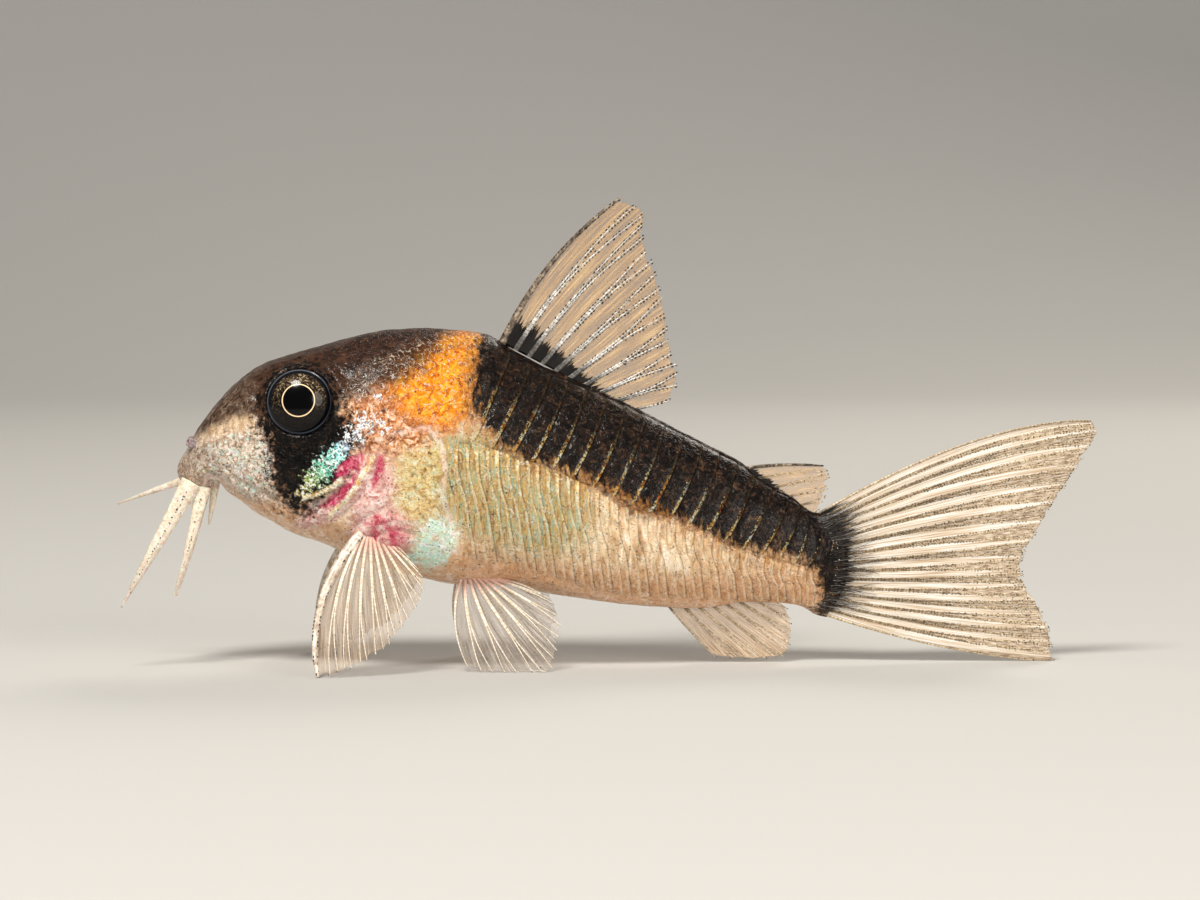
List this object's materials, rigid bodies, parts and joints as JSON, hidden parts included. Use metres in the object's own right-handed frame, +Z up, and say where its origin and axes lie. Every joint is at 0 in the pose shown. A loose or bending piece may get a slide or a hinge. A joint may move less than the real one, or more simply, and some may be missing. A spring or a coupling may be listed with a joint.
{
  "type": "corydoras catfish",
  "caption": "Life-size still model of a small armoured catfish resting on its paired fins and tail, with high back, pointed dorsal fin, forked tail and mouth barbels.",
  "frame": {"origin": "on the floor under the middle of the fish's whole length and width", "axes": "+X runs from the head to the tail, +Y towards the fish's right side, +Z up"},
  "size_m": [0.0654, 0.0182, 0.0311],
  "materials": {
    "skin": "moist fish skin, satin to glossy",
    "fin": "thin fin web with bony rays, satin",
    "spine": "smooth bony fin spine, satin",
    "eye": "wet eyeball, very glossy",
    "barbel": "soft moist feeler, satin"
  },
  "bodies": {
    "root": {"head": "skin", "lower_jaw": "skin", "trunk": "skin", "tail_stalk": "skin", "gill_cover_left": "skin", "gill_cover_right": "skin", "nostril_left": "skin", "nostril_right": "skin", "eye_left": "eye", "eye_right": "eye", "barbel_upper_left": "barbel", "barbel_upper_right": "barbel", "barbel_lower_left": "barbel", "barbel_lower_right": "barbel", "chin_barbel_left": "barbel", "chin_barbel_right": "barbel", "dorsal_spine": "spine", "dorsal_fin": "fin", "adipose_fin": "fin", "anal_fin": "fin", "caudal_fin": "fin", "pectoral_spine_left": "spine", "pectoral_spine_right": "spine", "pectoral_fin_left": "fin", "pectoral_fin_right": "fin", "pelvic_fin_left": "fin", "pelvic_fin_right": "fin"}
  },
  "joints": []
}
